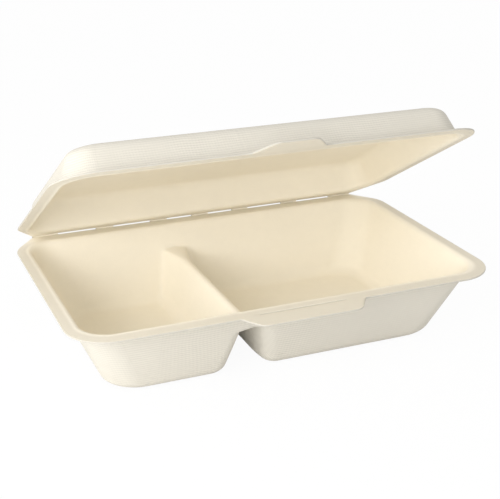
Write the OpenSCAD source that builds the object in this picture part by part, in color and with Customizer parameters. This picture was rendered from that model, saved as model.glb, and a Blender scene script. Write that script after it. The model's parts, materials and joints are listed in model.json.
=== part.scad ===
// Two-compartment meal box moulded from sugarcane pulp: a tray and a lid, joined
// along the back by a perforated fold. Millimetres, +Z up, the front towards -Y.
// The origin is on the surface that the tray stands on, at the middle of the tray.

/* [Box] */
// Length of the tray across both compartments, over the flange
box_l = 250; // [230:1:280]
// Depth of the tray from the fold to the front edge of the flange
box_d = 162; // [145:1:185]
// Height of the tray from its foot to the top of the flange
tray_h = 45.5; // [40:0.5:54]
// Thickness of the moulded pulp
pulp = 0.9; // [0.7:0.05:1.2]
// Angle at which the tray's walls lean out from upright
lean = 21.5; // [16:0.5:24]

/* [Flange] */
// Width of the flat flange along the front and the back
flange_w = 8; // [6:0.5:11]
// Width of the flat flange at the two ends
flange_end_w = 6; // [5:0.5:9]
// Radius of the flange's corners, seen from above
flange_corner_r = 24; // [20:1:30]
// Radius of the lip where the flange turns down into a wall
lip_r = 3; // [2:0.25:4]
// Length that the tray's back corners lose along the ends of the box
tray_cut = 19; // [14:1:26]
// Radius that eases the cut on the tray
tray_cut_r = 20; // [8:1:24]
// Distance from each end of the box to the end of the fold
fold_in = 14; // [11:1:18]

/* [Compartments] */
// Radius between the floor and the walls, inside
foot_r = 8; // [6:0.5:10]
// Radius of the tray's upright corners at the floor
floor_corner_r = 18; // [12:1:20]
// Distance of the divider from the middle of the tray, towards the small compartment
divider_x = 23; // [15:0.5:32]
// Height of the divider's crest above the foot
divider_h = 31; // [26:0.5:34]
// Radius over the divider's crest, inside
crest_r = 3; // [2.5:0.25:4]
// Angle at which the divider's flanks lean from upright
divider_lean = 18; // [14:0.5:22]
// Extra half width of the divider where it meets the front and back walls
flare_w = 6; // [3:0.5:9]
// Length over which the divider widens towards those walls
flare_l = 30; // [28:1:34]
// Radius of the upright corners between the divider and those walls
pocket_r = 5; // [4:0.5:8]

/* [Lid] */
// Height that the lid rises above its own flange
lid_h = 19.5; // [16:0.5:26]
// Angle at which the lid's walls lean out from upright
lid_lean = 17; // [12:0.5:22]
// Radius between the lid's top and its walls, inside
lid_edge_r = 7; // [5:0.5:9]
// Radius of the lid's upright corners at its top
lid_corner_r = 12; // [9:0.5:15]
// Distance by which each end of the lid stands inside the end of the tray
lid_inset = 0.75; // [0:0.25:2]
// Length that the lid's back corners lose along the ends of the box
lid_cut = 30; // [20:1:36]
// Radius that eases the cut on the lid
lid_cut_r = 8; // [4:1:14]
// Angle at which the lid stands open when the box is at rest
lid_open = 30; // [0:1:150]

/* [Tabs] */
// Length that the tray's tab stands out from the front edge
tab_l = 12; // [8:0.5:16]
// Width of the tray's tab at its root
tab_root_w = 73; // [60:1:90]
// Width of the tray's tab at its tip
tab_tip_w = 57; // [40:1:58]
// Radius of the tray tab's corners
tab_r = 3; // [1:0.5:4]
// Length of the slit behind the tray's tab
slit_l = 51; // [46:0.5:58]
// Width of the slit
slit_w = 0.7; // [0.5:0.1:1.5]
// Distance of the slit from the front edge of the flange
slit_in = 1.6; // [1.4:0.1:3]
// Length that the lid's tab stands out from the front edge
lid_tab_l = 13; // [8:0.5:16]
// Width of the lid's tab at its root
lid_tab_root_w = 43; // [36:0.5:45]
// Width of the lid's tab at its tip
lid_tab_tip_w = 24; // [16:0.5:34]
// Angle at which the lid's tab flares away from the tray
lid_tab_flare = 5; // [0:1:10]

/* [Fold] */
// Length of the two perforations nearest the middle
short_slot_l = 17; // [12:0.5:19]
// Length of the four outer perforations
long_slot_l = 24.5; // [18:0.5:26]
// Length of the webs between the perforations
web_l = 11.5; // [9:0.5:12]
// Distance from the fold line to the trimmed edge of the tray and of the lid
slot_half_w = 0.8; // [0.75:0.05:1.2]
// Radius of the rolled fibre along the fold line
bead_r = 0.45; // [0.3:0.05:0.45]
// Gap between the two flanges when the lid is shut
shut_gap = 0.3; // [0.3:0.05:0.6]

/* [Hidden] */
outside_colour = "#f2efe6";
inside_colour = "#f0e4c8";
corner_steps = 6;
foot_steps = 4;
wall_steps = 3;
lip_steps = 3;
pocket_steps = 3;
flare_steps = 3;
round_steps = 6;
// Millimetres that a corner between divider and wall opens for each one above the crest
crest_fade = 5;
halvings = 16;
nudge = 0.2;
overlap = 0.5;
tiny = 0.0001;
steepest = 0.2;
tray_depth = tray_h - pulp;
lid_depth = lid_h - pulp;
crest_z = divider_h - pulp;
fold_y = box_d / 2;
fold_z = tray_h + shut_gap / 2;

// Horizontal travel of a wall from the floor's edge up to height z: a hollow arc of
// radius foot, a straight stretch leaning by tilt, and an arc of radius lip over the top
function foot_top(foot, tilt) = foot * (1 - sin(tilt));
function lip_start(h, lip, tilt) = h - lip * (1 - sin(tilt));
function travel(z, h, foot, lip, tilt) =
    z <= foot_top(foot, tilt) ? sqrt(max(0, foot ^ 2 - (foot - z) ^ 2)) :
    z <= lip_start(h, lip, tilt) ? foot * cos(tilt) + (z - foot_top(foot, tilt)) * tan(tilt) :
    foot * cos(tilt) + (lip_start(h, lip, tilt) - foot_top(foot, tilt)) * tan(tilt)
        + lip * cos(tilt) - sqrt(max(0, lip ^ 2 - (z - h + lip) ^ 2));

// Heights at which such a wall is drawn, from the floor to the top
function heights(h, foot, lip, tilt) = concat(
    [for (i = [0 : foot_steps]) foot * (1 - cos(i * (90 - tilt) / foot_steps))],
    [for (i = [1 : wall_steps - 1]) foot_top(foot, tilt)
        + i * (lip_start(h, lip, tilt) - foot_top(foot, tilt)) / wall_steps],
    [for (i = [0 : lip_steps]) h - lip + lip * sin(tilt + i * (90 - tilt) / lip_steps)]);

// Upward part of the surface normal of such a wall at height z
function upward(z, h, foot, lip, tilt) =
    z <= foot_top(foot, tilt) ? (foot - z) / foot :
    z <= lip_start(h, lip, tilt) ? sin(tilt) :
    (z - h + lip) / lip;

// Half length, half depth and corner radius of a pan's outline at height z
function outline(z, h, foot, tilt, floor_r, inset) =
    let (back = travel(h, h, foot, lip_r, tilt) - travel(z, h, foot, lip_r, tilt),
         top_r = flange_corner_r - (flange_w + flange_end_w) / 2)
    [box_l / 2 - inset - flange_end_w - back, box_d / 2 - flange_w - back,
     floor_r + (top_r - floor_r) * z / h];
function tray_outline(z) = outline(z, tray_depth, foot_r, lean, floor_corner_r, 0);

// Half width of the divider at height z above the floor, away from the walls
function divider_half(z) =
    z > crest_z ? -(z - crest_z) * crest_fade :
    travel(crest_z, crest_z, foot_r, crest_r, divider_lean)
        - travel(z, crest_z, foot_r, crest_r, divider_lean);

// Part of flare_w that the divider has gained at the distance y from the middle
flare_end = tray_outline(crest_z)[1];
function flare(y) = min(1, max(0, 1 - (flare_end - abs(y)) / flare_l)) ^ 2;

// How far a point beside the divider lies outside a compartment's outline at height z,
// where the wall and the divider's flank meet in a corner of radius pocket_r
function outside_by(x, y, z) =
    let (wall = abs(y) - tray_outline(z)[1],
         flank = divider_half(z) + flare_w * flare(y) - abs(x + divider_x))
    min(max(wall, flank), -pocket_r)
        + norm([max(wall + pocket_r, 0), max(flank + pocket_r, 0)]);

// Height of the tray's inner surface beside the divider: the lowest height at which
// the compartment's outline has grown out to the point, found by halving
function surface_z(x, y, low = 0, high = tray_depth, n = halvings) =
    outside_by(x, y, low) <= tiny ? low :
    n == 0 ? (low + high) / 2 :
    let (mid = (low + high) / 2)
    outside_by(x, y, mid) > 0
        ? surface_z(x, y, mid, high, n - 1)
        : surface_z(x, y, low, mid, n - 1);

function surface_up(x, y) =
    let (dx = (surface_z(x + nudge, y) - surface_z(x - nudge, y)) / (2 * nudge),
         dy = (surface_z(x, y + nudge) - surface_z(x, y - nudge)) / (2 * nudge))
    surface_z(x, y) == 0 ? 1 : max(steepest, 1 / sqrt(1 + dx ^ 2 + dy ^ 2));
function surface_point(x, y) = [x, y, surface_z(x, y), surface_up(x, y)];

// Quarter arc of a ring in the corner on the sides sx and sy, counterclockwise from angle a
function arc(ring, sx, sy, a) = [for (i = [0 : corner_steps])
    let (t = a + 90 * i / corner_steps)
    [sx * (ring[0] - ring[2]) + ring[2] * cos(t), sy * (ring[1] - ring[2]) + ring[2] * sin(t)]];

// Arc of radius r that eases the corner at b between the lines to a and to c
function eased(a, b, c, r, steps) =
    let (u = (a - b) / norm(a - b), v = (c - b) / norm(c - b), half = acos(u * v) / 2,
         centre = b + (u + v) / norm(u + v) * r / sin(half),
         from = b + u * r / tan(half) - centre, to = b + v * r / tan(half) - centre,
         turn = 180 - 2 * half)
    [for (i = [0 : steps]) centre
        + (from * sin(turn * (1 - i / steps)) + to * sin(turn * i / steps)) / sin(turn)];

function mirrored(points) = [for (i = [len(points) - 1 : -1 : 0]) [-points[i][0], points[i][1]]];

// Plan of one ring, counterclockwise from the front: the columns beside the divider
// along the front, the right corners, the columns along the back, the left corners
function ring_plan(ring, columns) = concat(
    [for (c = columns) [column_x(c, ring[1]), -ring[1]]],
    arc(ring, 1, -1, -90),
    arc(ring, 1, 1, 0),
    [for (i = [len(columns) - 1 : -1 : 0]) [column_x(columns[i], ring[1]), ring[1]]],
    arc(ring, -1, 1, 90),
    arc(ring, -1, -1, 180));

// Plan of the flange's trimmed edge in the same order, its ends moved in by inset and
// its back corners cut away beside the fold by the length cut, eased by radius r
function edge_plan(columns, inset, cut, r) =
    let (half_l = box_l / 2 - inset,
         front = arc([half_l, box_d / 2, flange_corner_r], 1, -1, -90),
         end = [box_l / 2 - fold_in, fold_y - slot_half_w],
         back = concat(
             eased([half_l, 0], [half_l, fold_y - cut], end, r, corner_steps - 1),
             [end]))
    concat(
        [for (c = columns) [column_x(c, box_d / 2), -box_d / 2]],
        front,
        back,
        [for (i = [len(columns) - 1 : -1 : 0]) [column_x(columns[i], fold_y), end[1]]],
        mirrored(back),
        mirrored(front));

// A pan of even thickness, open upwards, with its floor's upper face at height 0.
// Each point holds its place and the upward part of its normal, in the fourth value.
module pan(h, foot, tilt, floor_r, inset, cut, cut_r, columns, rows) {
    levels = heights(h, foot, lip_r, tilt);
    edge = edge_plan(columns, inset, cut, cut_r);
    around = len(edge);
    cols = len(columns);
    row_n = len(rows);
    back_0 = cols + 2 * (corner_steps + 1);
    last = len(levels) * around;
    points = concat(
        [for (p = edge) [p[0], p[1], h, 1]],
        [for (k = [len(levels) - 1 : -1 : 0])
            let (z = levels[k])
            each [for (p = ring_plan(outline(z, h, foot, tilt, floor_r, inset), columns))
                cols > 0 && k < len(levels) - 1 && abs(p[0] + divider_x) <= strip_half
                    ? surface_point(p[0], p[1])
                    : [p[0], p[1], z, upward(z, h, foot, lip_r, tilt)]]],
        [for (y = rows) each [for (c = columns) surface_point(column_x(c, y), y)]]);
    function at(j, m) =
        j < 0 ? last + m :
        j >= row_n ? last + back_0 + cols - 1 - m :
        last + around + j * cols + m;
    // The diagonal that keeps closer to the surface halfway splits a quad by the divider
    function cut_well(q) =
        let (p = [for (i = q) points[i]], mid = (p[0] + p[1] + p[2] + p[3]) / 4)
        cols == 0 || abs(mid[0] + divider_x) > strip_half ? true :
        let (z = surface_z(mid[0], mid[1]))
        abs(p[0][2] + p[2][2] - 2 * z) <= abs(p[1][2] + p[3][2] - 2 * z);
    quads = concat(
        [for (k = [0 : len(levels) - 1]) each [for (i = [0 : around - 1])
            let (n = (i + 1) % around)
            [k * around + i, (k + 1) * around + i, (k + 1) * around + n, k * around + n]]],
        cols == 0 ? [] : [for (j = [-1 : row_n - 1]) each [for (m = [0 : cols - 2])
            [at(j, m), at(j + 1, m), at(j + 1, m + 1), at(j, m + 1)]]]);
    floors = cols == 0
        ? [[for (i = [around - 1 : -1 : 0]) last + i]]
        : [concat(
               [for (j = [-1 : row_n]) at(j, cols - 1)],
               [for (i = [back_0 - 1 : -1 : cols]) last + i]),
           concat(
               [for (i = [around - 1 : -1 : back_0 + cols]) last + i],
               [for (j = [row_n : -1 : -1]) at(j, 0)])];
    upper = concat(
        [for (q = quads) each cut_well(q)
            ? [[q[0], q[1], q[2]], [q[0], q[2], q[3]]]
            : [[q[0], q[1], q[3]], [q[1], q[2], q[3]]]],
        floors);
    count = len(points);
    polyhedron(
        points = concat(
            [for (p = points) [p[0], p[1], p[2]]],
            [for (p = points) [p[0], p[1], p[2] - pulp / p[3]]]),
        faces = concat(
            upper,
            [for (f = upper) [for (i = [len(f) - 1 : -1 : 0]) f[i] + count]],
            [for (i = [0 : around - 1])
                let (n = (i + 1) % around)
                [i, n, n + count, i + count]]),
        convexity = 6);
}

// Columns of points that follow the divider from front to back: each holds its place
// across the box and how far it moves out where the divider widens
function column_x(column, y) = column[0] + column[1] * flare(y);
divider_foot = divider_half(0);
strip_half = divider_foot + flare_w + pocket_r;
divider_side = concat(
    [for (i = [pocket_steps : -1 : 1]) divider_foot + pocket_r * i / pocket_steps],
    [for (z = heights(crest_z, foot_r, crest_r, divider_lean)) if (z < crest_z - tiny)
        divider_half(z)]);
divider_columns = concat(
    [for (d = divider_side) [-divider_x - d, -flare_w]],
    [[-divider_x, 0]],
    [for (i = [len(divider_side) - 1 : -1 : 0]) [-divider_x + divider_side[i], flare_w]]);
floor_half_d = tray_outline(0)[1];
front_rows = concat(
    [for (i = [0 : flare_steps - 1]) flare_end - flare_l
        + i * (floor_half_d - pocket_r - flare_end + flare_l) / flare_steps],
    [for (i = [pocket_steps : -1 : 1]) floor_half_d - pocket_r * i / pocket_steps]);
divider_rows = concat(
    [for (i = [len(front_rows) - 1 : -1 : 0]) -front_rows[i]],
    front_rows);

// A tapered tab with rounded corners, standing out towards -Y from the line y = 0,
// its root buried behind that line
module tab(root_w, tip_w, length) {
    right = eased([0, -length], [tip_w / 2, -length], [root_w / 2, 0], tab_r, round_steps);
    linear_extrude(pulp)
        polygon(concat(
            mirrored(right),
            right,
            [[root_w / 2, 0], [root_w / 2, overlap], [-root_w / 2, overlap], [-root_w / 2, 0]]));
}

// Webs that bridge the fold between the perforations, each with a roll of fibre on the line
slot_starts = [web_l / 2, web_l * 1.5 + short_slot_l, web_l * 2.5 + short_slot_l + long_slot_l];
slot_lengths = [short_slot_l, long_slot_l, long_slot_l];
fold_half_l = box_l / 2 - fold_in;
web_ends = concat(
    [[-slot_starts[0], slot_starts[0]]],
    [for (i = [0 : 1]) [slot_starts[i] + slot_lengths[i], slot_starts[i + 1]]],
    [[slot_starts[2] + slot_lengths[2], fold_half_l]]);

module web(x0, x1) {
    translate([x0, fold_y, fold_z])
        rotate([0, 90, 0])
            cylinder(r = bead_r, h = x1 - x0, $fn = 24);
    translate([x0, fold_y - slot_half_w - overlap, tray_h - pulp])
        cube([x1 - x0, slot_half_w + overlap, pulp]);
}

module tray() {
    color(outside_colour)
        difference() {
            union() {
                translate([0, 0, pulp])
                    pan(tray_depth, foot_r, lean, floor_corner_r, 0, tray_cut, tray_cut_r,
                        divider_columns, divider_rows);
                translate([0, -box_d / 2, tray_h - pulp])
                    tab(tab_root_w, tab_tip_w, tab_l);
                for (ends = web_ends) {
                    web(ends[0], ends[1]);
                    if (ends[0] > 0)
                        web(-ends[1], -ends[0]);
                }
            }
            translate([-slit_l / 2, -box_d / 2 + slit_in - slit_w / 2, tray_h - 2 * pulp])
                cube([slit_l, slit_w, 3 * pulp]);
        }
}

module lid() {
    color(inside_colour)
        translate([0, fold_y, fold_z])
            rotate([-lid_open, 0, 0])
                translate([0, -fold_y, shut_gap / 2])
                    union() {
                        mirror([0, 0, 1])
                            translate([0, 0, -lid_depth])
                                pan(lid_depth, lid_edge_r, lid_lean, lid_corner_r, lid_inset,
                                    lid_cut, lid_cut_r, [], []);
                        translate([0, -box_d / 2, 0])
                            rotate([-lid_tab_flare, 0, 0])
                                tab(lid_tab_root_w, lid_tab_tip_w, lid_tab_l);
                    }
}

tray();
lid();
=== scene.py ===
"""The two-compartment meal box in moulded sugarcane pulp: tray, lid, fold and studio."""

import json
import math

import bpy
import numpy as np
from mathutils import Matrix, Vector


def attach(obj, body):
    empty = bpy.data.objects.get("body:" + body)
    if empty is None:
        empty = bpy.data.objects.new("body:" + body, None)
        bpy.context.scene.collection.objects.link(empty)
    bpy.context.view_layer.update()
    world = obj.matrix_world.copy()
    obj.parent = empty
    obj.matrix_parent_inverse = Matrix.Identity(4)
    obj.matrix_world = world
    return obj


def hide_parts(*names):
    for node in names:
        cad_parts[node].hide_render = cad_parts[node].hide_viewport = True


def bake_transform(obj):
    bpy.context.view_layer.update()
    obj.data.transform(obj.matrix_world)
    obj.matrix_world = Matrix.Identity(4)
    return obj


bl_info = {
    "name": "Moulded Pulp Meal Box",
    "version": (1, 0, 0),
    "blender": (4, 5, 0),
    "location": "3D View > Sidebar > Meal Box",
    "description": "Builds a two-compartment moulded pulp meal box and its studio",
    "category": "Add Mesh",
}

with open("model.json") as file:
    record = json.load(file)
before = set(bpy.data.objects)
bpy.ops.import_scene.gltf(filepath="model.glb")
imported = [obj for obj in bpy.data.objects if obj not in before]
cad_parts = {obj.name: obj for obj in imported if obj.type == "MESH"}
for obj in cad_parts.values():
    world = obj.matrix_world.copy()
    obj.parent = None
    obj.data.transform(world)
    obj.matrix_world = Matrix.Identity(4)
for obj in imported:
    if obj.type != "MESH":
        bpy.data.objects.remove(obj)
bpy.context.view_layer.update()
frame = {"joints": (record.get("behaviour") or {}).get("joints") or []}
HINGE = frame["joints"][0]
FOLD = np.array(HINGE["pos_m"])
MM = 0.001


class BoxSizes(bpy.types.PropertyGroup):
    """Sizes of the moulded sheet"""

    length: bpy.props.FloatProperty(
        name="Length", description="Length over the tray's flange",
        default=0.250, min=0.23, max=0.28, subtype="DISTANCE")
    depth: bpy.props.FloatProperty(
        name="Depth", description="Depth from the fold to the front edge of the flange",
        default=0.162, min=0.145, max=0.185, subtype="DISTANCE")
    tray_height: bpy.props.FloatProperty(
        name="Tray height", description="Height from the foot to the top of the flange",
        default=0.0455, min=0.04, max=0.054, subtype="DISTANCE")
    lid_height: bpy.props.FloatProperty(
        name="Lid height", description="Rise of the lid above its own flange",
        default=0.0195, min=0.016, max=0.026, subtype="DISTANCE")
    pulp: bpy.props.FloatProperty(
        name="Pulp", description="Thickness of the moulded sheet",
        default=0.0009, min=0.0007, max=0.0012, subtype="DISTANCE")
    divider_place: bpy.props.FloatProperty(
        name="Divider", description="Distance of the divider from the middle of the tray",
        default=0.023, min=0.015, max=0.032, subtype="DISTANCE")
    divider_height: bpy.props.FloatProperty(
        name="Divider height", description="Height of the divider's crest above the foot",
        default=0.031, min=0.026, max=0.034, subtype="DISTANCE")
    lid_open: bpy.props.FloatProperty(
        name="Lid angle", description="Angle at which the lid stands open at rest",
        default=math.radians(30), min=0, max=math.radians(150), subtype="ANGLE")


class PulpFinish(bpy.types.PropertyGroup):
    """Colours and texture of the pulp"""

    inside: bpy.props.FloatVectorProperty(
        name="Inside", description="Smooth face that meets the food",
        default=(0.925, 0.866, 0.738), size=3, min=0, max=1, subtype="COLOR")
    outside: bpy.props.FloatVectorProperty(
        name="Outside", description="Face that lay on the forming screen",
        default=(0.69, 0.655, 0.575), size=3, min=0, max=1, subtype="COLOR")
    # The flange colour is a little darker than the inside: partly the denser pressing, partly
    # painted shade for its rough face seen at a grazing angle.
    flange: bpy.props.FloatVectorProperty(
        name="Flange", description="Rim, pressed denser than the pans and so a little darker",
        default=(0.765, 0.71, 0.595), size=3, min=0, max=1, subtype="COLOR")
    # The trimmed edge's colour is darker than every face of the pulp: painted shade along the
    # rims.
    edge: bpy.props.FloatVectorProperty(
        name="Trimmed edge", description="Cut fibre along the flanges and slots",
        default=(0.58, 0.55, 0.48), size=3, min=0, max=1, subtype="COLOR")
    tray_screen: bpy.props.FloatProperty(
        name="Tray screen", description="Spacing of the wires of the tray's forming screen",
        default=0.00168, min=0.0006, max=0.003, subtype="DISTANCE")
    lid_screen: bpy.props.FloatProperty(
        name="Lid screen", description="Spacing of the wires of the lid's forming screen",
        default=0.00138, min=0.0006, max=0.003, subtype="DISTANCE")
    screen_depth: bpy.props.FloatProperty(
        name="Screen depth", description="Depth of the imprint that the wires leave",
        default=0.00011, min=0, max=0.0003, subtype="DISTANCE")


class StudioSettings(bpy.types.PropertyGroup):
    """Camera and light"""

    camera_place: bpy.props.FloatVectorProperty(
        name="Camera", description="Place of the camera",
        default=(-0.2285, -0.5480, 0.2816), size=3, subtype="TRANSLATION")
    camera_target: bpy.props.FloatVectorProperty(
        name="Target", description="Point that the camera looks at",
        default=(0.00221, 0.0, 0.04937), size=3, subtype="TRANSLATION")
    focal_length: bpy.props.FloatProperty(
        name="Focal length", description="Focal length on a 36 mm sensor, in millimetres",
        default=77.2, min=20, max=200)
    key_power: bpy.props.FloatProperty(
        name="Key light", description="Power of the soft light on the left",
        default=3.8, min=0, max=200, unit="POWER")
    fill_power: bpy.props.FloatProperty(
        name="Fill light", description="Power of the low light in front of the open box",
        default=2.4, min=0, max=200, unit="POWER")
    sky: bpy.props.FloatProperty(
        name="Sky", description="Strength of the even light from all round",
        default=0.79, min=0, max=2)


# The moulded form, as functions of height and plan position, in metres

TRAY = {"foot": 8 * MM, "lean": math.radians(21.5), "floor_corner": 18 * MM, "inset": 0.0,
        "cut": 19 * MM, "cut_ease": 20 * MM, "steps": (10, 16, 8)}
LID = {"foot": 7 * MM, "lean": math.radians(17), "floor_corner": 12 * MM, "inset": 0.75 * MM,
       "cut": 30 * MM, "cut_ease": 8 * MM, "steps": (10, 10, 8)}
LIP = 3 * MM
FLANGE_FRONT, FLANGE_END, FLANGE_CORNER = 8 * MM, 6 * MM, 24 * MM
SLOT_HALF, FOLD_IN, SHUT_GAP = 0.8 * MM, 14 * MM, 0.3 * MM
DIVIDER = {"crest": 3 * MM, "lean": math.radians(18), "flare": 6 * MM, "run": 30 * MM,
           "front_pocket": 5 * MM, "back_pocket": 2 * MM, "fade": 5.0,
           "steps": (10, 14, 8), "rows": (4, 5)}
SLIT = {"half_length": 25.5 * MM, "width": 0.7 * MM, "inset": 1.6 * MM}
TRAY_TAB = {"length": 12 * MM, "root": 36.5 * MM, "tip": 28.5 * MM, "corner": 3 * MM,
            "flare": 0.0}
LID_TAB = {"length": 13 * MM, "root": 21.5 * MM, "tip": 12 * MM, "corner": 3 * MM,
           "flare": math.radians(5)}
WEBS = {"half_middle": 5.75 * MM, "slots": (17 * MM, 24.5 * MM, 24.5 * MM),
        "web": 11.5 * MM, "steps": 6}
BEND = {"radius": 0.5 * MM, "half_turn": math.radians(62), "steps": 12,
        "crease": 0.3 * MM, "blend": 0.33 * MM,
        "under": np.array([[1, 1], [0.62, 0.93], [0.25, 0.62]]),
        "over": np.array([[1, 1], [0.72, 0.8]])}

# How finely the form is divided, and where its texture map is laid

COLUMN_PITCH = 3.5 * MM
CORNER_STEPS, CUT_STEPS, TAB_ROWS, HALVINGS = 24, 40, 14, 40
SIDE_STEPS = np.linspace(-1, 1, 29)[1:-1]
FLANGE_STEPS = np.array([0.0, 0.04, 0.18, 0.22, 0.45, 0.72, 0.93])
POCKET_STEPS = np.linspace(1, 0, 13)[:-1] ** 1.5
RIM_BULGE, RIM_SHARES = 0.12 * MM, (0.3, 0.7)
CLOSE = 1e-7
FLOOR_MAP = np.array([0, 0.3])
SMOOTH, SCREEN, CUT = range(3)


def travel(z, top, foot, lip, lean):
    """How far a wall has moved out at height z: a hollow quarter round of radius foot,
    then a straight slope at lean from upright, then a round of radius lip over the top."""
    foot_top, lip_low = foot * (1 - math.sin(lean)), top - lip * (1 - math.sin(lean))
    hollow = np.sqrt(np.clip(foot ** 2 - (foot - z) ** 2, 0, None))
    slope = foot * math.cos(lean) + (z - foot_top) * math.tan(lean)
    reach = foot * math.cos(lean) + (lip_low - foot_top) * math.tan(lean) + lip * math.cos(lean)
    over = reach - np.sqrt(np.clip(lip ** 2 - (z - top + lip) ** 2, 0, None))
    return np.where(z <= foot_top, hollow, np.where(z <= lip_low, slope, over))


def wall_heights(top, foot, lip, lean, steps):
    """Heights along such a wall: equal turns round the foot, equal rises up the slope,
    equal turns over the lip, with the steps given for each."""
    foot_top, lip_low = foot * (1 - math.sin(lean)), top - lip * (1 - math.sin(lean))
    turn = np.linspace(0, math.pi / 2 - lean, steps[0] + 1)
    roll = np.linspace(lean, math.pi / 2, steps[2] + 1)
    return np.concatenate([
        foot * (1 - np.cos(turn)),
        np.linspace(foot_top, lip_low, steps[1] + 1)[1:-1],
        top - lip + lip * np.sin(roll)])


def outline(form, sizes, z, top):
    """Half length, half depth and corner radius of a pan at height z: each is the value
    at the flange less what the wall still has to travel."""
    back = (travel(np.asarray(top), top, form["foot"], LIP, form["lean"])
            - travel(z, top, form["foot"], LIP, form["lean"]))
    top_corner = FLANGE_CORNER - (FLANGE_FRONT + FLANGE_END) / 2
    return (sizes.length / 2 - form["inset"] - FLANGE_END - back,
            sizes.depth / 2 - FLANGE_FRONT - back,
            form["floor_corner"] + (top_corner - form["floor_corner"]) * z / top)


def divider_half(sizes, z):
    """Half width of the divider at height z above the floor; above the crest it is
    negative, by DIVIDER fade for each metre of height."""
    crest = sizes.divider_height - sizes.pulp
    shape = (crest, TRAY["foot"], DIVIDER["crest"], DIVIDER["lean"])
    below = travel(np.asarray(crest), *shape) - travel(np.minimum(z, crest), *shape)
    return np.where(z > crest, -(z - crest) * DIVIDER["fade"], below)


def flare(sizes, y):
    """Share of the divider's widening at distance y from the middle: the square of the
    way from where it begins to where the crest meets the wall, and 1 beyond."""
    top, crest = sizes.tray_height - sizes.pulp, sizes.divider_height - sizes.pulp
    end = outline(TRAY, sizes, np.asarray(crest), top)[1]
    return np.clip(1 - (end - np.abs(y)) / DIVIDER["run"], 0, 1) ** 2


def outside_by(sizes, x, y, z):
    """How far a point lies outside a compartment's outline at height z: the larger of
    its distances past the wall and past the divider, joined by a round corner."""
    top = sizes.tray_height - sizes.pulp
    pocket = np.where(y < 0, DIVIDER["front_pocket"], DIVIDER["back_pocket"])
    wall = np.abs(y) - outline(TRAY, sizes, z, top)[1]
    flank = (divider_half(sizes, z) + DIVIDER["flare"] * flare(sizes, y)
             - np.abs(x + sizes.divider_place))
    return (np.minimum(np.maximum(wall, flank), -pocket)
            + np.hypot(np.maximum(wall + pocket, 0), np.maximum(flank + pocket, 0)))


def surface_height(sizes, x, y):
    """Height of the tray's inner face at x, y: halved towards the height at which the
    outline has grown out to the point."""
    low, high = np.zeros_like(x), np.full_like(x, sizes.tray_height - sizes.pulp)
    flat = outside_by(sizes, x, y, low) <= CLOSE
    for _ in range(HALVINGS):
        middle = (low + high) / 2
        out = outside_by(sizes, x, y, middle) > 0
        low, high = np.where(out, middle, low), np.where(out, high, middle)
    return np.where(flat, 0.0, (low + high) / 2)


def corner_arc(half_l, half_d, radius, sx, sy, start):
    """Quarter circle of the given radius in one corner of each outline, counterclockwise
    from the angle start; one row for each outline."""
    turn = start + np.linspace(0, math.pi / 2, CORNER_STEPS + 1)
    half_l, half_d, radius = (np.atleast_1d(a)[:, None] for a in (half_l, half_d, radius))
    return np.stack([sx * (half_l - radius) + radius * np.cos(turn),
                     sy * (half_d - radius) + radius * np.sin(turn)], -1)


def eased(a, b, c, radius):
    """Arc of the given radius that rounds the corner b between the lines to a and c."""
    u, v = (a - b) / np.linalg.norm(a - b), (c - b) / np.linalg.norm(c - b)
    half = math.acos(u @ v) / 2
    centre = b + (u + v) / np.linalg.norm(u + v) * radius / math.sin(half)
    start = b + u * radius / math.tan(half) - centre
    end = b + v * radius / math.tan(half) - centre
    turn, t = math.pi - 2 * half, np.linspace(0, 1, CUT_STEPS + 1)[:, None]
    return centre + (start * np.sin(turn * (1 - t)) + end * np.sin(turn * t)) / math.sin(turn)


def ring_plans(form, sizes, levels, top, columns):
    """Plan points of every ring, counterclockwise from the front: the columns along the
    front, the right end between its corners, the columns along the back, the left end."""
    half_l, half_d, radius = outline(form, sizes, levels, top)
    place, move = columns
    x = place + move * flare(sizes, half_d)[:, None]
    y = np.broadcast_to(half_d[:, None], x.shape)
    quarter = math.pi / 2
    arcs = [corner_arc(half_l, half_d, radius, sx, sy, start)
            for sx, sy, start in ((1, -1, -quarter), (1, 1, 0), (-1, 1, quarter),
                                  (-1, -1, 2 * quarter))]
    side_y = (half_d - radius)[:, None] * SIDE_STEPS
    side_x = np.broadcast_to(half_l[:, None], side_y.shape)
    return np.concatenate([
        np.stack([x, -y], -1), arcs[0], np.stack([side_x, side_y], -1), arcs[1],
        np.stack([x, y], -1)[:, ::-1], arcs[2], np.stack([-side_x, -side_y], -1), arcs[3]],
        axis=1)


def edge_plan(form, sizes, columns, straight):
    """Plan of the trimmed edge in the rings' order: round front corners, ends that run
    straight as far as the given distance from the middle and more, and back corners cut
    away beside the fold, sampled at even steps along them."""
    half_l, half_d = sizes.length / 2 - form["inset"], sizes.depth / 2
    place, move = columns
    x = place + move
    end = np.array([sizes.length / 2 - FOLD_IN, half_d - SLOT_HALF])
    front = corner_arc(half_l, half_d, FLANGE_CORNER, 1, -1, -math.pi / 2)[0]
    side = np.array([half_l, 0])
    bent = eased(side, np.array([half_l, half_d - form["cut"]]), end, form["cut_ease"])
    path = np.concatenate([side[None], bent, end[None]])
    side_y = straight * SIDE_STEPS
    sides = np.stack([np.interp(side_y, path[:, 1], path[:, 0]), side_y], -1)
    first = np.array([[np.interp(straight, path[:, 1], path[:, 0]), straight]])
    cut = np.concatenate([first, path[path[:, 1] > straight]])
    way = np.concatenate([[0], np.cumsum(np.linalg.norm(np.diff(cut, axis=0), axis=1))])
    step = np.linspace(0, way[-1], CORNER_STEPS + 1)
    back = np.stack([np.interp(step, way, cut[:, k]) for k in (0, 1)], -1)
    mirror = np.array([-1, 1])
    return np.concatenate([
        np.stack([x, np.full_like(x, -half_d)], -1), front, sides, back,
        np.stack([x[::-1], np.full_like(x, end[1])], -1), back[::-1] * mirror,
        sides[::-1] * mirror, front[::-1] * mirror])


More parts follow.
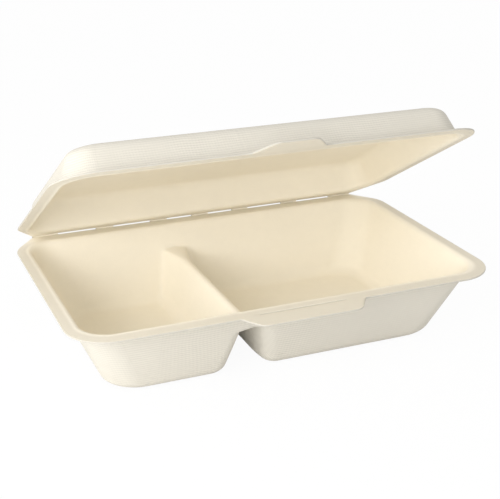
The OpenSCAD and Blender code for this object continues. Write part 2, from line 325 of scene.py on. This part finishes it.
def snap(columns, marks):
    """The columns' places at the flange, with the nearest one moved onto each mark."""
    place, move = columns
    x = place + move
    for mark in marks:
        x[np.abs(x - mark).argmin()] = mark
    return x


class Sheet:
    """A sheet of pulp: the points of its inner face with their texture coordinates, and
    that face's polygons, each group with the places of its corners on the texture."""

    def __init__(self):
        self.points, self.uv, self.faces, self.corners, self.count = [], [], [], [], 0

    def add(self, points, uv):
        """Adds a grid of points and returns their numbers, in the grid's shape."""
        shape = points.shape[:-1]
        self.points.append(points.reshape(-1, 3))
        self.uv.append(uv.reshape(-1, 2))
        numbers = np.arange(self.count, self.count + int(np.prod(shape))).reshape(shape)
        self.count += numbers.size
        return numbers

    def fill(self, faces, flat=False):
        """Adds polygons: a flat group is mapped straight from above, behind the rest of
        the texture, and any other group by its points' own coordinates."""
        points, uv = np.concatenate(self.points), np.concatenate(self.uv)
        self.faces.append(faces)
        self.corners.append(points[faces][..., :2] - FLOOR_MAP if flat else uv[faces])


def quads(grid, closed=False):
    """Four-sided faces between the neighbouring rows and columns of a grid of numbers."""
    nxt = np.roll(grid, -1, 1) if closed else grid[:, 1:]
    cur = grid if closed else grid[:, :-1]
    return np.stack([cur[:-1], cur[1:], nxt[1:], nxt[:-1]], -1).reshape(-1, 4)


def tab_grid(tab, x, front, top):
    """Points of a tab that stands out from the front edge: each row is the root row
    narrowed towards the tip, its last rows following the round corners."""
    t = np.sin(np.linspace(0, math.pi / 2, TAB_ROWS + 1)[1:])
    out = tab["length"] * t
    left = np.clip(tab["corner"] - (tab["length"] - out), 0, None)
    bite = tab["corner"] - np.sqrt(np.clip(tab["corner"] ** 2 - left ** 2, 0, None))
    half = tab["root"] + (tab["tip"] - tab["root"]) * t - bite
    grid_x = x[None] * (half / tab["root"])[:, None]
    y = front - out * math.cos(tab["flare"])
    z = top - out * math.sin(tab["flare"])
    return np.stack([grid_x, np.broadcast_to(y[:, None], grid_x.shape),
                     np.broadcast_to(z[:, None], grid_x.shape)], -1)


def pan_rings(form, sizes, top, columns, x_flange, divided):
    """Rings of points from the trimmed edge in over the flange and down to the floor,
    and the way run along that edge. Beside a divider the heights follow its surface."""
    levels = wall_heights(top, form["foot"], LIP, form["lean"], form["steps"])[::-1]
    plan = ring_plans(form, sizes, levels, top, columns)
    z = np.broadcast_to(levels[:, None], plan.shape[:2]).copy()
    if divided:
        x, y = plan[..., 0], plan[..., 1]
        reach = (divider_half(sizes, np.asarray(0.0)) + DIVIDER["flare"]
                 + DIVIDER["front_pocket"])
        beside = np.abs(x + sizes.divider_place) <= reach + CLOSE
        beside[0] = False
        z[beside] = surface_height(sizes, x[beside], y[beside])
    _, half_d, radius = outline(form, sizes, levels[:1], top)
    edge = edge_plan(form, sizes, columns, float((half_d - radius)[0]))
    for ring in (edge, plan[0]):
        ring[:len(x_flange), 0] = x_flange
    share = FLANGE_STEPS[:, None, None]
    flange = edge * (1 - share) + plan[0] * share
    plan = np.concatenate([flange, plan])
    z = np.concatenate([np.full(flange.shape[:2], top), z])
    run = np.concatenate([[0], np.cumsum(np.linalg.norm(np.diff(edge, axis=0), axis=1))])
    return np.concatenate([plan, z[..., None]], -1), run


def add_tab(sheet, tab, x_flange, front, top, edge, run):
    """Adds a tab to the front of the trimmed edge, over the columns along its root."""
    first, last = (int(np.abs(x_flange - s * tab["root"]).argmin()) for s in (-1, 1))
    out = tab_grid(tab, x_flange[first:last + 1], front, top)
    beyond = np.linalg.norm(out[:, 0, 1:] - np.array([front, top]), axis=1)[:, None]
    grid = sheet.add(out, np.stack(np.broadcast_arrays(run[first:last + 1], beyond), -1))
    sheet.fill(quads(np.concatenate([edge[None, first:last + 1], grid])))


def add_floor(sheet, sizes, ring, columns, rows):
    """Closes the innermost ring: a strip from the front wall to the back one, through
    the rows that a divider needs, and one flat face at each end."""
    place, move = columns
    n = len(place)
    back = n + 2 * (CORNER_STEPS + 1) + len(SIDE_STEPS)
    y = np.broadcast_to(rows[:, None], (len(rows), n))
    x = place + move * flare(sizes, y)
    strip = sheet.add(np.stack([x, y, surface_height(sizes, x, y)], -1),
                      np.stack([x, y], -1) - FLOOR_MAP)
    whole = np.concatenate([ring[None, :n], strip, ring[None, back:back + n][:, ::-1]])
    sheet.fill(quads(whole[::-1]), flat=True)
    right = np.concatenate([ring[n - 1:back + 1], strip[::-1, -1]])
    left = np.concatenate([ring[back + n - 1:], ring[:1], strip[:, 0]])
    sheet.fill(right[None], flat=True)
    sheet.fill(left[None], flat=True)


def pan_sheet(form, sizes, top, columns, tab, rows=np.zeros(0), slit=None):
    """Inner face of a pan with its flange and tab, and with the divider where rows of
    points across it are given. Returns the sheet and the length of its trimmed edge."""
    sheet = Sheet()
    ends = ([slit["half_length"]] if slit else []) + [tab["root"]]
    x_flange = snap(columns, [s * end for end in ends for s in (-1, 1)])
    points, run = pan_rings(form, sizes, top, columns, x_flange, len(rows) > 0)
    drop = np.linalg.norm(np.diff(points[:, len(run) // 2], axis=0), axis=1)
    inwards = -np.concatenate([[0], np.cumsum(drop)])
    rings = sheet.add(points, np.stack(np.broadcast_arrays(run, inwards[:, None]), -1))
    faces = quads(rings[::-1], closed=True)
    if slit:
        middle = points.reshape(-1, 3)[faces].mean(1)
        hole = ((np.abs(middle[:, 0]) < slit["half_length"])
                & (np.abs(middle[:, 1] + sizes.depth / 2 - slit["inset"]) < slit["width"] / 2))
        faces = faces[~hole]
    sheet.fill(faces)
    add_tab(sheet, tab, x_flange, -sizes.depth / 2, top, rings[0], run)
    add_floor(sheet, sizes, rings[-1], columns, rows)
    return sheet, run[-1]


def point_normals(points, faces):
    """Normal of each point: the sum of the area vectors of the faces that meet there."""
    total = np.zeros_like(points)
    for group in faces:
        corners = points[group]
        area = np.cross(corners, np.roll(corners, -1, 1)).sum(1) / 2
        for k in range(group.shape[1]):
            np.add.at(total, group[:, k], area)
    return total / np.linalg.norm(total, axis=1, keepdims=True)


def rim_edges(faces, count):
    """Directed edges that only one face of the sheet uses."""
    pairs = np.concatenate([
        np.stack([group, np.roll(group, -1, 1)], -1).reshape(-1, 2) for group in faces])
    there, back = pairs[:, 0] * count + pairs[:, 1], pairs[:, 1] * count + pairs[:, 0]
    return pairs[~np.isin(there, back)]


def thicken(sheet, pulp):
    """The whole solid: the inner face, the same face moved out by the pulp along its
    normals, and a softly rounded edge between the two along every rim."""
    inner = np.concatenate(sheet.points)
    uv = np.concatenate(sheet.uv)
    count = len(inner)
    normals = point_normals(inner, sheet.faces)
    outer = inner - pulp * normals
    rim = rim_edges(sheet.faces, count)
    along = inner[rim[:, 1]] - inner[rim[:, 0]]
    away = np.cross(along, normals[rim[:, 0]])
    away /= np.linalg.norm(away, axis=1, keepdims=True)
    push = np.zeros_like(inner)
    np.add.at(push, rim[:, 0], away)
    np.add.at(push, rim[:, 1], away)
    used = np.unique(rim)
    push = push[used] / np.maximum(np.linalg.norm(push[used], axis=1, keepdims=True), CLOSE)
    mids = [inner[used] * (1 - s) + outer[used] * s + push * RIM_BULGE for s in RIM_SHARES]
    number = np.zeros(count, int)
    number[used] = np.arange(len(used))
    rows = [np.arange(count), 2 * count + number, 2 * count + len(used) + number,
            count + np.arange(count)]
    a, b = rim[:, 0], rim[:, 1]
    strips = [np.stack([p[b], p[a], q[a], q[b]], -1) for p, q in zip(rows, rows[1:])]
    points = np.concatenate([inner, outer, *mids])
    uvs = np.concatenate([uv, uv, uv[used], uv[used]])
    groups = ([(g, c, SMOOTH) for g, c in zip(sheet.faces, sheet.corners)]
              + [(g[:, ::-1] + count, c[:, ::-1], SCREEN)
                 for g, c in zip(sheet.faces, sheet.corners)]
              + [(g, uvs[g], CUT) for g in strips])
    return points, groups


def new_object(name, points, groups, materials, lap=None):
    """Puts arrays of points and faces into a mesh object, with a texture map whose first
    coordinate is carried past the seam where a face spans it."""
    data = bpy.data.meshes.new(name)
    faces = [face for group, _, _ in groups for face in group.tolist()]
    data.from_pydata(points.tolist(), [], faces)
    data.polygons.foreach_set("material_index", np.concatenate(
        [np.full(len(group), kind, np.int32) for group, _, kind in groups]))
    data.polygons.foreach_set("use_smooth", np.ones(len(faces), bool))
    corner_uv = []
    for _, uv, _ in groups:
        if lap and uv.shape[1] == 4:
            wide = np.ptp(uv[..., 0], axis=1) > lap / 2
            past = lap * (wide[:, None] & (uv[..., 0] < lap / 2))
            uv = np.stack([uv[..., 0] + past, uv[..., 1]], -1)
        corner_uv.append(uv.reshape(-1, 2))
    layer = data.uv_layers.new(name="Screen")
    layer.data.foreach_set("uv", np.concatenate(corner_uv).astype(np.float32).ravel())
    for material in materials:
        data.materials.append(material)
    data.validate()
    data.update()
    thing = bpy.data.objects.new(name, data)
    bpy.context.scene.collection.objects.link(thing)
    return thing


# Materials


class Term:
    """A socket of a node tree. Python's operators on it add Math nodes."""

    def __init__(self, tree, socket):
        self.tree, self.socket = tree, socket

    @staticmethod
    def fill(tree, slot, value):
        """Links a Term to an input, or writes a plain value into it."""
        if isinstance(value, Term):
            tree.links.new(value.socket, slot)
        else:
            slot.default_value = value

    @staticmethod
    def node(tree, kind, settings=None, output=0, **inputs):
        """Adds a node, sets its settings, fills its inputs and returns an output. An
        input is called by its name, or i and its number where names repeat."""
        made = tree.nodes.new(kind)
        for key, value in (settings or {}).items():
            setattr(made, key, value)
        for key, value in inputs.items():
            numbered = key[0] == "i" and key[1:].isdigit()
            slot = made.inputs[int(key[1:]) if numbered else key]
            Term.fill(tree, slot, value)
        return Term(tree, made.outputs[output])

    def beside(self, output):
        """Another output of the same node."""
        return Term(self.tree, self.socket.node.outputs[output])

    def maths(self, operation, *values):
        """Result of a Math node on the values."""
        return Term.node(self.tree, "ShaderNodeMath", {"operation": operation},
                         **{f"i{k}": v for k, v in enumerate(values)})

    def __add__(self, other):
        return self.maths("ADD", self, other)

    def __sub__(self, other):
        return self.maths("SUBTRACT", self, other)

    def __rsub__(self, other):
        return self.maths("SUBTRACT", other, self)

    def __mul__(self, other):
        return self.maths("MULTIPLY", self, other)

    def __truediv__(self, other):
        return self.maths("DIVIDE", self, other)

    def __rtruediv__(self, other):
        return self.maths("DIVIDE", other, self)

    __radd__, __rmul__ = __add__, __mul__

    def wave(self):
        """Sine of the value, with a whole turn for each unit."""
        return self.maths("SINE", self * (2 * math.pi))


FIBRE_SCALE, FIBRE_STRETCH = 900.0, (1, 0.12, 1)
# Where the flange's darker colour lies, by distance in from the trimmed edge (partly pressing,
# partly painted shade); it fades out between 62 and 74 mm behind the middle, a painted
# lightening of the wedge beside the fold.
FLANGE_SHADE = {"inner": -8.2 * MM, "outer": -4.8 * MM, "fold_light_from": 62 * MM,
                "fold_light_to": 74 * MM}
# How much the screen imprint fades towards the large end for each piece, and the span of x over
# which it fades.
SCREEN_FADE = {"tray": 0.75, "lid": 0.0, "from": -5 * MM, "to": 45 * MM}
KNOT_PITCH, WIRE_SHARE, KNOT_SHARE = 1.2, 0.78, 0.22


def noise(tree, where, scale, detail=2.0, roughness=0.5):
    """Soft random value from 0 to 1, of about the given number of features a metre."""
    return Term.node(tree, "ShaderNodeTexNoise", {"noise_dimensions": "3D"}, Vector=where,
                     Scale=scale, Detail=detail, Roughness=roughness)


def colour_mix(tree, share, first, second):
    """Colour between two, by share."""
    return Term.node(tree, "ShaderNodeMix", {"data_type": "RGBA"}, 2, i0=share, i6=first,
                     i7=second)


def ramp(tree, value, low, high):
    """Rises softly from 0 to 1 as the value goes from low to high."""
    return Term.node(tree, "ShaderNodeMapRange", {"interpolation_type": "SMOOTHSTEP"},
                     Value=value, i1=low, i2=high, i3=0.0, i4=1.0)


def shade(colour, factor):
    """A colour made lighter or darker, as a plain RGBA value."""
    return tuple(min(1.0, c * factor) for c in colour) + (1.0,)


def fibre_noise(tree, where, turn):
    """Noise on coordinates that are turned and stretched, so that it runs in fibres."""
    stretched = Term.node(tree, "ShaderNodeMapping", Vector=where, Rotation=turn,
                          Scale=FIBRE_STRETCH)
    return noise(tree, stretched, FIBRE_SCALE)


def new_material(name):
    """A material, its node tree and its Principled node."""
    material = bpy.data.materials.new(name)
    material.use_nodes = True
    tree = material.node_tree
    skin = next(n for n in tree.nodes if n.type == "BSDF_PRINCIPLED")
    return material, tree, skin


def dress(tree, skin, colour, roughness, gloss, height, strength):
    """Fills a Principled node's colour, roughness and gloss, and its normal from a
    height in metres."""
    Term.fill(tree, skin.inputs["Base Color"], colour)
    Term.fill(tree, skin.inputs["Roughness"], roughness)
    skin.inputs["Specular IOR Level"].default_value = gloss
    Term.fill(tree, skin.inputs["Normal"], Term.node(
        tree, "ShaderNodeBump", Strength=strength, Distance=1.0, Height=height))


def smooth_pulp(name, colour, flange):
    """Cream pressed pulp: cloudy colour, faint fibres and a slightly uneven surface. The
    flange, known by the distance in from the trimmed edge, is a little darker, partly from
    its denser pressing and partly as painted shade for its rough face seen at a grazing
    angle. That darkening fades out towards the fold, a painted lightening for the light
    that reaches the wedge beside the fold."""
    material, tree, skin = new_material(name)
    where = Term.node(tree, "ShaderNodeTexCoord", output=3)
    cloud = noise(tree, where, 14.0, 3.0, 0.55)
    mottle = noise(tree, where, 160.0, 3.0, 0.6)
    fibres = (fibre_noise(tree, where, (0.2, 0.1, 0.5))
              + fibre_noise(tree, where, (0.1, 0.3, -0.9))) / 2
    share = cloud * 0.55 + mottle * 0.25 + fibres * 0.2
    plan = Term.node(tree, "ShaderNodeUVMap", {"uv_map": "Screen"})
    inwards = Term.node(tree, "ShaderNodeSeparateXYZ", output=1, Vector=plan)
    backwards = Term.node(tree, "ShaderNodeSeparateXYZ", output=1, Vector=where)
    # Flange mask: darker colour, partly pressing and partly painted shade, faded out near the
    # fold as painted light for the wedge there.
    flange_tone_and_shade = (ramp(tree, inwards, FLANGE_SHADE["inner"], FLANGE_SHADE["outer"])
                 * (1 - ramp(tree, backwards, FLANGE_SHADE["fold_light_from"],
                             FLANGE_SHADE["fold_light_to"])))
    pan = colour_mix(tree, (share - 0.3) * 2.5, shade(colour, 0.965), shade(colour, 1.03))
    rim = colour_mix(tree, (share - 0.3) * 2.5, shade(flange, 0.96), shade(flange, 1.03))
    dress(tree, skin, colour_mix(tree, flange_tone_and_shade, pan, rim), 0.66 + mottle * 0.14, 0.35,
          cloud * 0.00022 + mottle * 0.00002 + fibres * 0.00001, 0.6)
    return material


def screen_pulp(name, colour, depth, pitch, imprint_fade):
    """Whiter pulp with the imprint of the woven forming screen: rows of wire that wander
    a little and are pressed in unevenly, each broken by the wires that cross it, and the
    fibres between them. The imprint sets the height, and also darkens the colour in its
    grooves as painted shade. It fades by the given share towards the large end."""
    material, tree, skin = new_material(name)
    where = Term.node(tree, "ShaderNodeTexCoord", output=3)
    plan = Term.node(tree, "ShaderNodeUVMap", {"uv_map": "Screen"})
    along = Term.node(tree, "ShaderNodeSeparateXYZ", Vector=plan)
    up = along.beside("Y")
    wander = noise(tree, where, 26.0, 2.0)
    cloud = noise(tree, where, 17.0, 3.0, 0.55)
    mottle = noise(tree, where, 240.0, 3.0, 0.6)
    wires = ((up + wander * 0.004) / pitch).wave() * 0.5 + 0.5
    knots = ((along + wander * 0.003) / (pitch * KNOT_PITCH)).wave() * 0.5 + 0.5
    across = Term.node(tree, "ShaderNodeSeparateXYZ", Vector=where)
    patches = ramp(tree, noise(tree, where, 55.0, 2.0), 0.35, 0.65)
    # The imprint fades towards the large end by the piece's share, and is patchy.
    kept = ((1 - ramp(tree, across, SCREEN_FADE["from"], SCREEN_FADE["to"]) * imprint_fade)
            * (patches * 0.55 + 0.45))
    imprint = (wires * WIRE_SHARE + knots * KNOT_SHARE - 0.5) * kept + 0.5
    # Through the imprint's share the colour is darker in the grooves between the wires: painted
    # shade.
    share = cloud * 0.2 + mottle * 0.2 + imprint * 0.6
    tone = colour_mix(tree, (share - 0.1) * 1.25, shade(colour, 0.865), shade(colour, 1.095))
    dress(tree, skin, tone, 0.74 + mottle * 0.14, 0.3,
          imprint * depth + mottle * 0.00004 + cloud * 0.0002, 1.0)
    return material


def cut_pulp(name, colour):
    """Trimmed edge: open fibre, the roughest of the three finishes. Its colour is darker
    than the faces', as painted shade along the rims.
    """
    material, tree, skin = new_material(name)
    where = Term.node(tree, "ShaderNodeTexCoord", output=3)
    grain = noise(tree, where, FIBRE_SCALE, 3.0, 0.65)
    tone = colour_mix(tree, grain, shade(colour, 0.95), shade(colour, 1.04))
    dress(tree, skin, tone, 0.85 + grain * 0.1, 0.25, grain * 0.00015, 0.7)
    return material


def pulp_materials(finish, piece):
    """A piece's finishes, in the order of SMOOTH, SCREEN and CUT. The first and last are
    shared by every piece, and the imprint has the pitch of the piece's mould and the
    piece's share of fading towards the large end."""
    def once(name, make, *args):
        return bpy.data.materials.get(name) or make(name, *args)
    pitch = {"tray": finish.tray_screen, "lid": finish.lid_screen}[piece]
    return [
        once("Smooth pulp", smooth_pulp, tuple(finish.inside), tuple(finish.flange)),
        once("Screen pulp, " + piece, screen_pulp, tuple(finish.outside),
             finish.screen_depth, pitch, SCREEN_FADE[piece]),
        once("Cut pulp", cut_pulp, tuple(finish.edge))]


# Pieces


def straight_columns(low, high):
    """Evenly spaced places between two ends, both included."""
    return np.linspace(low, high, max(2, int(round((high - low) / COLUMN_PITCH)) + 1))


def floor_end(form, sizes, top):
    """Distance from the middle at which the straight front of a floor ends."""
    half_l, _, radius = outline(form, sizes, np.asarray(0.0), top)
    return float(half_l - radius)


def tray_columns(sizes, top):
    """Places of the columns along the tray, close together over the divider and in the
    corners beside it, and how far the divider's widening moves each at the walls."""
    crest = sizes.divider_height - sizes.pulp
    heights = wall_heights(crest, TRAY["foot"], DIVIDER["crest"], DIVIDER["lean"],
                           DIVIDER["steps"])
    profile = divider_half(sizes, heights)
    pocket = profile[0] + DIVIDER["front_pocket"] * POCKET_STEPS
    half = np.concatenate([pocket, profile[:-1]])
    middle, wide, end = -sizes.divider_place, DIVIDER["flare"], floor_end(TRAY, sizes, top)
    left = straight_columns(-end, middle - half[0])[:-1]
    right = straight_columns(middle + half[0], end)[1:]
    place = np.concatenate([left, middle - half, [middle], middle + half[::-1], right])
    move = np.concatenate([
        np.linspace(0, -wide, len(left) + 1)[:-1], np.full(len(half), -wide), [0],
        np.full(len(half), wide), np.linspace(wide, 0, len(right) + 1)[1:]])
    return place, move


def tray_rows(sizes, top):
    """Rows across the tray's floor, by their distance from the middle: a few as far as
    the divider starts to widen, a few more to the corners, and the rest close together."""
    crest = sizes.divider_height - sizes.pulp
    wall = float(outline(TRAY, sizes, np.asarray(0.0), top)[1])
    begin = float(outline(TRAY, sizes, np.asarray(crest), top)[1]) - DIVIDER["run"]
    inner, outer = DIVIDER["rows"]
    rows = np.concatenate([
        np.linspace(0, begin, inner + 1)[1:],
        np.linspace(begin, wall - DIVIDER["front_pocket"], outer + 1)[1:],
        wall - DIVIDER["front_pocket"] * POCKET_STEPS[1:]])
    return np.concatenate([-rows[::-1], [0.0], rows])


class MEALBOX_OT_tray(bpy.types.Operator):
    """Builds the tray: two compartments, the divider, the flange, the tab and its slit"""

    bl_idname = "mealbox.tray"
    bl_label = "Tray"

    def execute(self, context):
        sizes, finish = context.scene.mealbox_sizes, context.scene.mealbox_finish
        top = sizes.tray_height - sizes.pulp
        sheet, lap = pan_sheet(TRAY, sizes, top, tray_columns(sizes, top), TRAY_TAB,
                               tray_rows(sizes, top), SLIT)
        points, groups = thicken(sheet, sizes.pulp)
        points[:, 2] += sizes.pulp
        thing = new_object("tray_shell", points, groups, pulp_materials(finish, "tray"), lap)
        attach(thing, "tray_body")
        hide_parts("tray")
        return {"FINISHED"}


def lifted(points, opening):
    """Points across the fold, as y and z from the fold line, turned up with the lid."""
    c, s = math.cos(opening), math.sin(opening)
    y, z = points[:, 0], points[:, 1]
    return np.stack([y * c + z * s, -y * s + z * c], -1)


class MEALBOX_OT_lid(bpy.types.Operator):
    """Builds the lid: a shallow pan turned over, with its flange and tab"""

    bl_idname = "mealbox.lid"
    bl_label = "Lid"

    def execute(self, context):
        sizes, finish = context.scene.mealbox_sizes, context.scene.mealbox_finish
        top = sizes.lid_height - sizes.pulp
        end = floor_end(LID, sizes, top)
        place = straight_columns(-end, end)
        sheet, lap = pan_sheet(LID, sizes, top, (place, np.zeros_like(place)), LID_TAB)
        points, groups = thicken(sheet, sizes.pulp)
        groups = [(g[:, ::-1], c[:, ::-1], kind) for g, c, kind in groups]
        shut = np.stack([points[:, 1] - FOLD[1], top - points[:, 2] + SHUT_GAP / 2], -1)
        points[:, 1:] = FOLD[1:] + lifted(shut, sizes.lid_open)
        thing = new_object("lid_shell", points, groups, pulp_materials(finish, "lid"), lap)
        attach(thing, "lid_body")
        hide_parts("lid")
        return {"FINISHED"}


def web_spans(sizes):
    """Ends of each web along the fold, from the lengths of the slots between them. The
    last one on each side runs to the end of the fold."""
    middle, right = (-WEBS["half_middle"], WEBS["half_middle"]), []
    reached = middle[1]
    for slot in WEBS["slots"]:
        right.append((reached + slot, reached + slot + WEBS["web"]))
        reached = right[-1][1]
    right[-1] = (right[-1][0], sizes.length / 2 - FOLD_IN)
    return [(-high, -low) for low, high in right[::-1]] + [middle] + right


def fold_profile(sizes):
    """Section of a web across the fold: from the tray's flange round the back of the
    fold to the lid's flange, and back along the crease inside. Returns the points and
    how many of them lie on the back."""
    half, opening = SHUT_GAP / 2, sizes.lid_open

    def lid_side(points):
        return lifted(points * np.array([1, -1]), opening)[::-1]

    back = -opening / 2
    turn = back + np.linspace(-BEND["half_turn"], BEND["half_turn"], BEND["steps"] + 1)
    bend = BEND["radius"] * np.stack([np.cos(turn), np.sin(turn)], -1)
    under = np.array([0, -half]) - BEND["under"] * np.array([SLOT_HALF, sizes.pulp])
    over = -BEND["over"] * np.array([SLOT_HALF, half])
    crease = BEND["crease"] * np.array([[-math.cos(back), -math.sin(back)]])
    inside = np.concatenate([over, crease, lid_side(over)])
    outside = np.concatenate([under, bend, lid_side(under)])
    return np.concatenate([outside, inside[::-1]]), len(outside)


class MEALBOX_OT_fold(bpy.types.Operator):
    """Builds the webs of pulp that cross the fold between the perforations"""

    bl_idname = "mealbox.fold"
    bl_label = "Fold"

    def execute(self, context):
        sizes, finish = context.scene.mealbox_sizes, context.scene.mealbox_finish
        section, behind = fold_profile(sizes)
        n = len(section)
        points, groups, count = [], [], 0
        for low, high in web_spans(sizes):
            x = np.linspace(low, high, WEBS["steps"] + 1)
            ring = np.empty((len(x), n, 3))
            ring[..., 0] = x[:, None]
            ring[..., 1:] = FOLD[1:] + section
            numbers = count + np.arange(len(x) * n).reshape(len(x), n)
            points.append(ring.reshape(-1, 3))
            skin = quads(numbers, closed=True)[:, ::-1].reshape(-1, n, 4)
            for faces, kind in ((skin[:, :behind].reshape(-1, 4), SCREEN),
                                (skin[:, behind:].reshape(-1, 4), SMOOTH),
                                (numbers[:1], CUT), (numbers[-1:, ::-1], CUT)):
                groups.append((faces, np.zeros(faces.shape + (2,)), kind))
            count += numbers.size
        points = np.concatenate(points)
        thing = new_object("fold_webs", points, groups, pulp_materials(finish, "tray"))
        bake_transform(thing)
        return {"FINISHED"}


# Studio


def seen_directly(tree):
    """1 for what the camera sees, straight or in gloss or glass, and 0 for the light that
    a surface sends to others."""
    camera = Term.node(tree, "ShaderNodeLightPath", output="Is Camera Ray")
    return camera.maths("MINIMUM", camera + camera.beside("Is Glossy Ray")
                        + camera.beside("Is Transmission Ray"), 1.0)


def camera_only(name, colour, share):
    """Pale surface that the camera sees as near white, while it lights the object as
    plain paint does; share is how much of what the camera sees is that white."""
    material, tree, skin = new_material(name)
    skin.inputs["Base Color"].default_value = colour
    skin.inputs["Roughness"].default_value = 0.9
    skin.inputs["Specular IOR Level"].default_value = 0.0
    out = next(n for n in tree.nodes if n.type == "OUTPUT_MATERIAL")
    paint = Term(tree, skin.outputs["BSDF"])
    glow = Term.node(tree, "ShaderNodeEmission")
    Term.fill(tree, out.inputs["Surface"], Term.node(
        tree, "ShaderNodeMixShader", i0=seen_directly(tree) * share, i1=paint, i2=glow))
    return material


def aim(thing, place, target):
    """Puts a lamp or a camera into the scene at a place, turned towards the target."""
    thing.location = place
    thing.rotation_euler = (target - Vector(place)).to_track_quat("-Z", "Y").to_euler()
    bpy.context.scene.collection.objects.link(thing)


FLOOR_REACH, FLOOR_DROP = 8.0, 0.2 * MM
FLOOR_PAINT, FLOOR_WHITE = (0.95, 0.95, 0.95, 1.0), 0.95
KEY_LIGHT = {"place": (-0.62, -0.38, 0.34), "size": 0.45}
FILL_LIGHT = {"place": (-0.78, -1.15, 0.11), "size": 0.5}
SENSOR_WIDTH = 36.0


class MEALBOX_OT_studio(bpy.types.Operator):
    """Builds the pale floor, the soft lights and the camera"""

    bl_idname = "mealbox.studio"
    bl_label = "Studio"

    def execute(self, context):
        scene, studio = context.scene, context.scene.mealbox_studio
        scene.view_settings.view_transform = "Standard"
        data = bpy.data.meshes.new("floor")
        corners = [(x * FLOOR_REACH, y * FLOOR_REACH, -FLOOR_DROP)
                   for x, y in ((-1, -1), (1, -1), (1, 1), (-1, 1))]
        data.from_pydata(corners, [], [(0, 1, 2, 3)])
        floor = bpy.data.objects.new("floor", data)
        data.materials.append(camera_only("Studio floor", FLOOR_PAINT, FLOOR_WHITE))
        scene.collection.objects.link(floor)

        world = bpy.data.worlds.new("Studio sky")
        scene.world = world
        world.use_nodes = True
        tree = world.node_tree
        sky = next(n for n in tree.nodes if n.type == "BACKGROUND")
        sky.inputs["Color"].default_value = (1.0, 1.0, 1.0, 1.0)
        Term.fill(tree, sky.inputs["Strength"],
                  studio.sky + seen_directly(tree) * (1 - studio.sky))

        target = Vector(studio.camera_target)
        for name, light, power in (("Key light", KEY_LIGHT, studio.key_power),
                                   ("Fill light", FILL_LIGHT, studio.fill_power)):
            lamp = bpy.data.lights.new(name, "AREA")
            lamp.size, lamp.energy = light["size"], power
            aim(bpy.data.objects.new(name, lamp), light["place"], target)

        lens = bpy.data.cameras.new("Camera")
        lens.lens, lens.sensor_width = studio.focal_length, SENSOR_WIDTH
        lens.clip_start, lens.clip_end = 0.01, 100
        camera = bpy.data.objects.new("Camera", lens)
        aim(camera, studio.camera_place, target)
        scene.camera = camera
        return {"FINISHED"}


class MEALBOX_PT_panel(bpy.types.Panel):
    """Lists the pieces, sizes and finishes of the meal box"""

    bl_label = "Meal Box"
    bl_space_type = "VIEW_3D"
    bl_region_type = "UI"
    bl_category = "Meal Box"

    def draw(self, context):
        for group in GROUPS:
            box = self.layout.box()
            settings = getattr(context.scene, group)
            for name in settings.__annotations__:
                box.prop(settings, name)
        for operator in OPERATORS:
            self.layout.operator(operator.bl_idname)


GROUPS = {"mealbox_sizes": BoxSizes, "mealbox_finish": PulpFinish,
          "mealbox_studio": StudioSettings}
OPERATORS = (MEALBOX_OT_tray, MEALBOX_OT_lid, MEALBOX_OT_fold, MEALBOX_OT_studio)


def register():
    for cls in (*GROUPS.values(), *OPERATORS, MEALBOX_PT_panel):
        bpy.utils.register_class(cls)
    for name, group in GROUPS.items():
        setattr(bpy.types.Scene, name, bpy.props.PointerProperty(type=group))


def unregister():
    for name in GROUPS:
        delattr(bpy.types.Scene, name)
    for cls in (MEALBOX_PT_panel, *OPERATORS, *GROUPS.values()):
        bpy.utils.unregister_class(cls)


def main():
    register()
    bpy.ops.mealbox.tray()
    bpy.ops.mealbox.lid()
    bpy.ops.mealbox.fold()
    bpy.ops.mealbox.studio()


if __name__ == "__main__":
    main()
